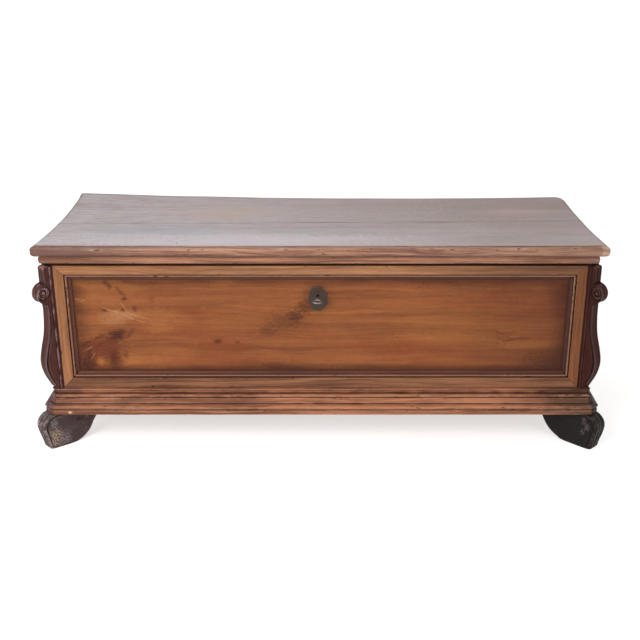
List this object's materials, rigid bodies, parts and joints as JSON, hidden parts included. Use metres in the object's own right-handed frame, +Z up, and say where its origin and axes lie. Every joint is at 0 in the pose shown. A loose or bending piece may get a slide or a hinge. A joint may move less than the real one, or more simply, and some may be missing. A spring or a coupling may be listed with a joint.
{
  "type": "cassone chest",
  "caption": "Walnut cassone chest: framed front on a moulded base and scroll feet, scroll brackets on its cut corners, hinged cupped lid, lock with key and sliding bolt.",
  "frame": {"origin": "floor level under the middle of the chest's length and depth", "axes": "+X to the right along the front, +Y towards the back, +Z up; the front faces -Y"},
  "size_m": [1.6708, 0.6583, 0.6199],
  "materials": {
    "panel_walnut": "waxed, figured walnut plank",
    "frame_walnut": "waxed, light walnut strips",
    "moulding_walnut": "waxed, worn on the bead",
    "lid_walnut": "polished by use, greyed",
    "base_walnut": "waxed, dirt in the grooves",
    "dark_walnut": "dark stained, rubbed edges",
    "poplar_boards": "raw, aged softwood",
    "wrought_iron": "forged, browned",
    "black_iron": "dark worn iron plate",
    "bright_iron": "iron worn bright by handling"
  },
  "bodies": {
    "case": {"escutcheon": "black_iron", "front_base_moulding": "base_walnut", "front_board": "panel_walnut", "front_bottom_plank": "poplar_boards", "front_bottom_rail": "frame_walnut", "front_left_stile": "frame_walnut", "front_panel_moulding_bottom": "moulding_walnut", "front_panel_moulding_left": "moulding_walnut", "front_panel_moulding_right": "moulding_walnut", "front_panel_moulding_top": "moulding_walnut", "front_right_stile": "frame_walnut", "front_top_rail": "frame_walnut", "left_case_strap": "wrought_iron", "left_corner_base_moulding": "base_walnut", "left_corner_post": "panel_walnut", "left_corner_strip": "dark_walnut", "left_front_foot": "dark_walnut", "left_hinge_pin": "wrought_iron", "left_rear_foot": "dark_walnut", "left_scroll_bracket": "dark_walnut", "left_side_base_moulding": "base_walnut", "left_side_board": "panel_walnut", "left_side_bottom_rail": "frame_walnut", "left_side_front_stile": "frame_walnut", "left_side_rear_stile": "frame_walnut", "left_side_top_rail": "frame_walnut", "lock_case": "wrought_iron", "lower_back_plank": "poplar_boards", "rear_bottom_plank": "poplar_boards", "right_case_strap": "wrought_iron", "right_corner_base_moulding": "base_walnut", "right_corner_post": "panel_walnut", "right_corner_strip": "dark_walnut", "right_front_foot": "dark_walnut", "right_hinge_pin": "wrought_iron", "right_rear_foot": "dark_walnut", "right_scroll_bracket": "dark_walnut", "right_side_base_moulding": "base_walnut", "right_side_board": "panel_walnut", "right_side_bottom_rail": "frame_walnut", "right_side_front_stile": "frame_walnut", "right_side_rear_stile": "frame_walnut", "right_side_top_rail": "frame_walnut", "upper_back_plank": "poplar_boards"},
    "lid": {"lid_front_plank": "lid_walnut", "lid_rear_plank": "lid_walnut", "lid_front_skirt": "lid_walnut", "lid_left_skirt": "lid_walnut", "lid_right_skirt": "lid_walnut", "left_lid_strap": "wrought_iron", "right_lid_strap": "wrought_iron", "lid_staple": "wrought_iron"},
    "key": {"key": "bright_iron"},
    "bolt": {"lock_bolt": "wrought_iron"}
  },
  "joints": [
    {"name": "lid_hinge", "type": "hinge", "parent": "case", "child": "lid", "pos_m": [0, 0.32264, 0.5665], "axis": [-1, 0, 0], "range_deg": [0, 100]},
    {"name": "key_turn", "type": "hinge", "parent": "case", "child": "key", "pos_m": [-0.008, -0.30586, 0.462], "axis": [0, 1, 0], "range_deg": [0, 180]},
    {"name": "bolt_slide", "type": "slide", "parent": "case", "child": "bolt", "axis": [1, 0, 0], "range_m": [0, 0.018]}
  ],
  "couplings": [
    {"joint": "key_turn", "follows": "bolt_slide", "rad_per_m": 174.53}
  ]
}
